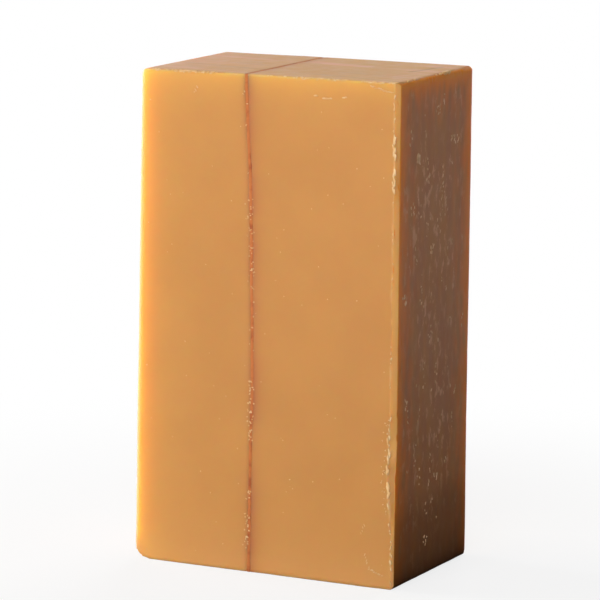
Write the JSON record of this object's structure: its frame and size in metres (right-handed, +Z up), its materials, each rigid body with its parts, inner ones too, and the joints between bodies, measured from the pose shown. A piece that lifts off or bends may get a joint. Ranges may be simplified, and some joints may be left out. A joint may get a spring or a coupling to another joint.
{
  "type": "bar of soap",
  "caption": "Hand-cut block of translucent amber soap, standing on its small end, with a thin powder line between two poured halves.",
  "frame": {"origin": "middle of the base, the small end that the bar stands on", "axes": "+Z up along the bar's height, -Y out of the broad front face, +X to the right seen from the front"},
  "size_m": [0.052, 0.0314, 0.0902],
  "materials": {
    "amber_soap": "translucent amber soap, smooth cut faces with a soft sheen, ash and streaks on the outer skin",
    "powdered_soap": "dark red-brown powder set in soap, rough and crumbly where it reaches a face"
  },
  "bodies": {
    "root": {"left_soap_layer": "amber_soap", "powder_line": "powdered_soap", "right_soap_layer": "amber_soap"}
  },
  "joints": []
}
